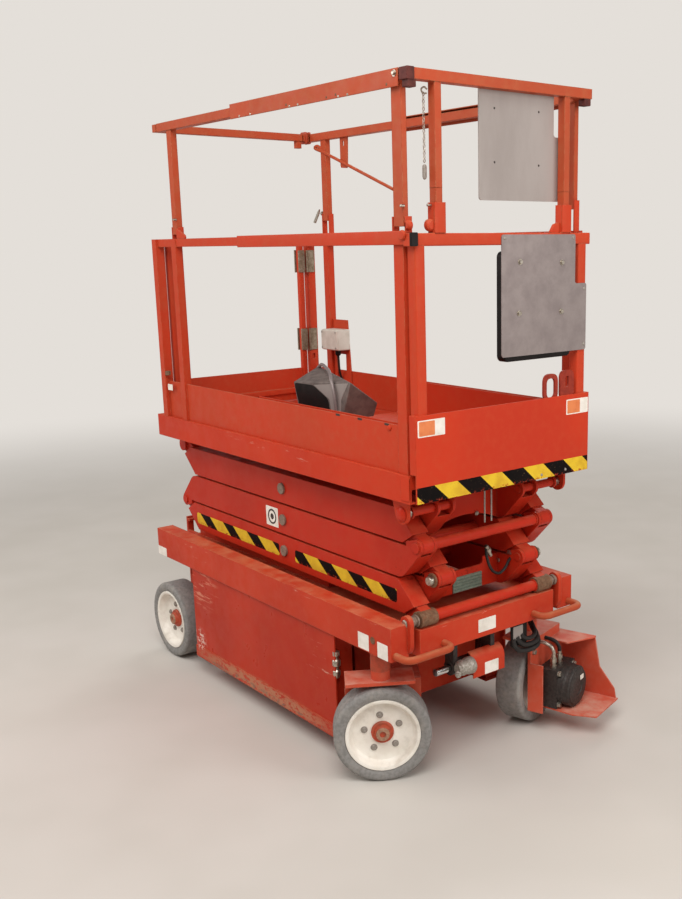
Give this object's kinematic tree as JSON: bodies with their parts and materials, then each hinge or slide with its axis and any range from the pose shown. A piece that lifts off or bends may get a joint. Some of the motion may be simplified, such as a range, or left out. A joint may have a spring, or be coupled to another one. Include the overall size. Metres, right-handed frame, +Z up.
{
  "type": "scissor lift",
  "caption": "Compact electric slab scissor lift, stowed, with folding guard rails, roll-out deck, rear gate and steered front drive wheels.",
  "frame": {"origin": "on the floor below the middle of the whole outline", "axes": "+X to the machine's front, where the wheels steer; +Y to its left; +Z up"},
  "size_m": [1.921, 1.0535, 2.197],
  "materials": {
    "orange_paint": "semi-gloss, worn",
    "orange_floor": "matt, worn",
    "black_plastic": "matt",
    "black_metal": "satin",
    "grey_plate": "satin",
    "light_sheet": "matt",
    "zinc": "dull plated",
    "chrome_rod": "polished",
    "tyre_grey": "matt non-marking",
    "rim_white": "semi-gloss",
    "dark_steel": "matt"
  },
  "bodies": {
    "chassis": {"chassis_frame": "orange_paint", "front_beam": "orange_paint", "base_pins": "zinc", "tie_down_loops": "orange_paint", "rear_ladder": "orange_paint", "hydraulic_block": "dark_steel", "battery_block": "dark_steel", "lift_base_pin": "zinc", "steering_barrel": "dark_steel", "steering_cover": "orange_paint"},
    "lower_outer": {"lower_outer_arms": "orange_paint"},
    "lower_inner": {"lower_inner_arms": "orange_paint", "id_plate": "grey_plate"},
    "middle_outer": {"middle_outer_arms": "orange_paint"},
    "middle_inner": {"middle_inner_arms": "orange_paint"},
    "upper_outer": {"upper_outer_arms": "orange_paint"},
    "upper_inner": {"upper_inner_arms": "orange_paint"},
    "lift_barrel": {"lift_barrel": "dark_steel"},
    "lift_rod": {"lift_rod": "chrome_rod"},
    "platform": {"main_deck": "orange_paint", "platform_pins": "zinc", "right_main_rails": "orange_paint", "left_main_rails": "orange_paint", "gate_hinges": "zinc", "outlet_hoop": "orange_paint", "outlet_box": "light_sheet"},
    "right_guard": {"right_upper_guard": "orange_paint"},
    "left_guard": {"left_upper_guard": "orange_paint"},
    "top_bar": {"rear_top_bar": "orange_paint"},
    "gate": {"rear_gate": "orange_paint"},
    "rollout": {"rollout_deck": "orange_paint", "rollout_rails": "orange_paint", "backing_plate": "grey_plate", "document_box": "black_plastic", "control_box": "grey_plate", "control_bracket": "black_plastic", "front_upper_guard": "orange_paint", "sheet_panel": "light_sheet"},
    "right_channel": {"right_top_channel": "orange_paint"},
    "left_channel": {"left_top_channel": "orange_paint"},
    "right_tray": {"right_tray": "orange_paint", "right_tray_pack": "dark_steel"},
    "left_tray": {"left_tray": "orange_paint", "left_tray_pack": "dark_steel"},
    "right_knuckle": {"right_knuckle": "orange_paint", "right_drive_motor": "black_metal"},
    "left_knuckle": {"left_knuckle": "orange_paint", "left_drive_motor": "black_metal"},
    "front_right_wheel": {"front_right_tyre": "tyre_grey", "front_right_rim": "rim_white"},
    "front_left_wheel": {"front_left_tyre": "tyre_grey", "front_left_rim": "rim_white"},
    "rear_right_wheel": {"rear_right_tyre": "tyre_grey", "rear_right_rim": "rim_white"},
    "rear_left_wheel": {"rear_left_tyre": "tyre_grey", "rear_left_rim": "rim_white"},
    "steering_rod": {"steering_rod": "chrome_rod"}
  },
  "joints": [
    {"name": "lift", "type": "hinge", "parent": "chassis", "child": "lower_outer", "pos_m": [0.798, -0.03, 0.57], "axis": [0, 1, 0], "range_deg": [0, 51.6]},
    {"name": "lower_cross", "type": "hinge", "parent": "lower_outer", "child": "lower_inner", "pos_m": [0.0165, -0.03, 0.629], "axis": [0, 1, 0], "range_deg": [-103.2, 0]},
    {"name": "middle_foot", "type": "hinge", "parent": "lower_inner", "child": "middle_inner", "pos_m": [0.798, -0.03, 0.688], "axis": [0, 1, 0], "range_deg": [0, 103.2]},
    {"name": "middle_cross", "type": "hinge", "parent": "middle_inner", "child": "middle_outer", "pos_m": [0.0165, -0.03, 0.747], "axis": [0, 1, 0], "range_deg": [-103.2, 0]},
    {"name": "upper_foot", "type": "hinge", "parent": "middle_outer", "child": "upper_outer", "pos_m": [0.798, -0.03, 0.806], "axis": [0, 1, 0], "range_deg": [0, 103.2]},
    {"name": "upper_cross", "type": "hinge", "parent": "upper_outer", "child": "upper_inner", "pos_m": [0.0165, -0.03, 0.865], "axis": [0, 1, 0], "range_deg": [-103.2, 0]},
    {"name": "deck_level", "type": "hinge", "parent": "upper_inner", "child": "platform", "pos_m": [0.798, -0.03, 0.924], "axis": [0, 1, 0], "range_deg": [0, 51.6]},
    {"name": "lift_barrel_tilt", "type": "hinge", "parent": "chassis", "child": "lift_barrel", "pos_m": [-0.6, -0.03, 0.455], "axis": [0, -1, 0], "range_deg": [0, 32.03]},
    {"name": "lift_rod_travel", "type": "slide", "parent": "lift_barrel", "child": "lift_rod", "axis": [0.9842, 0, 0.1768], "range_m": [0, 0.5832]},
    {"name": "rollout_travel", "type": "slide", "parent": "platform", "child": "rollout", "axis": [1, 0, 0], "range_m": [0, 0.91]},
    {"name": "right_guard_fold", "type": "hinge", "parent": "platform", "child": "right_guard", "pos_m": [0, -0.376, 1.79], "axis": [-1, 0, 0], "range_deg": [0, 90]},
    {"name": "left_guard_fold", "type": "hinge", "parent": "platform", "child": "left_guard", "pos_m": [0, 0.316, 1.845], "axis": [1, 0, 0], "range_deg": [0, 90]},
    {"name": "right_channel_fold", "type": "hinge", "parent": "rollout", "child": "right_channel", "pos_m": [0, -0.376, 1.79], "axis": [-1, 0, 0], "range_deg": [0, 90]},
    {"name": "left_channel_fold", "type": "hinge", "parent": "rollout", "child": "left_channel", "pos_m": [0, 0.316, 1.845], "axis": [1, 0, 0], "range_deg": [0, 90]},
    {"name": "top_bar_swing", "type": "hinge", "parent": "left_guard", "child": "top_bar", "pos_m": [-0.676, 0.256, 2.173], "axis": [0, 0, -1], "range_deg": [0, 90]},
    {"name": "gate_swing", "type": "hinge", "parent": "platform", "child": "gate", "pos_m": [-0.729, 0.274, 1.4], "axis": [0, 0, 1], "range_deg": [0, 90]},
    {"name": "right_tray_swing", "type": "hinge", "parent": "chassis", "child": "right_tray", "pos_m": [-0.535, -0.422, 0.27], "axis": [0, 0, -1], "range_deg": [0, 85]},
    {"name": "left_tray_swing", "type": "hinge", "parent": "chassis", "child": "left_tray", "pos_m": [-0.535, 0.362, 0.27], "axis": [0, 0, 1], "range_deg": [0, 85]},
    {"name": "right_steer", "type": "hinge", "parent": "chassis", "child": "right_knuckle", "pos_m": [0.658, -0.368, 0.4], "axis": [0, 0, -1], "range_deg": [0, 164]},
    {"name": "left_steer", "type": "hinge", "parent": "chassis", "child": "left_knuckle", "pos_m": [0.658, 0.308, 0.4], "axis": [0, 0, -1], "range_deg": [0, 164]},
    {"name": "steering_rod_travel", "type": "slide", "parent": "chassis", "child": "steering_rod", "axis": [0, 1, 0], "range_m": [-0.06, 0.06]},
    {"name": "front_right_roll", "type": "hinge", "parent": "right_knuckle", "child": "front_right_wheel", "pos_m": [0.658, -0.368, 0.1615], "axis": [-0.8387, 0.5446, 0], "continuous": true},
    {"name": "rear_right_roll", "type": "hinge", "parent": "chassis", "child": "rear_right_wheel", "pos_m": [-0.799, -0.368, 0.1615], "axis": [0, 1, 0], "continuous": true},
    {"name": "front_left_roll", "type": "hinge", "parent": "left_knuckle", "child": "front_left_wheel", "pos_m": [0.658, 0.308, 0.1615], "axis": [-0.9563, -0.2924, 0], "continuous": true},
    {"name": "rear_left_roll", "type": "hinge", "parent": "chassis", "child": "rear_left_wheel", "pos_m": [-0.799, 0.308, 0.1615], "axis": [0, 1, 0], "continuous": true}
  ],
  "couplings": [
    {"joint": "lower_cross", "follows": "lift", "ratio": -2},
    {"joint": "middle_foot", "follows": "lift", "ratio": 2},
    {"joint": "middle_cross", "follows": "lift", "ratio": -2},
    {"joint": "upper_foot", "follows": "lift", "ratio": 2},
    {"joint": "upper_cross", "follows": "lift", "ratio": -2},
    {"joint": "deck_level", "follows": "lift", "ratio": 1},
    {"joint": "right_channel_fold", "follows": "right_guard_fold", "ratio": 1},
    {"joint": "left_channel_fold", "follows": "left_guard_fold", "ratio": 1},
    {"joint": "top_bar_swing", "follows": "left_guard_fold", "ratio": 1},
    {"joint": "lift_barrel_tilt", "follows": "lift", "ratio": 0.6207},
    {"joint": "lift_rod_travel", "follows": "lift", "m_per_rad": 0.6475}
  ]
}
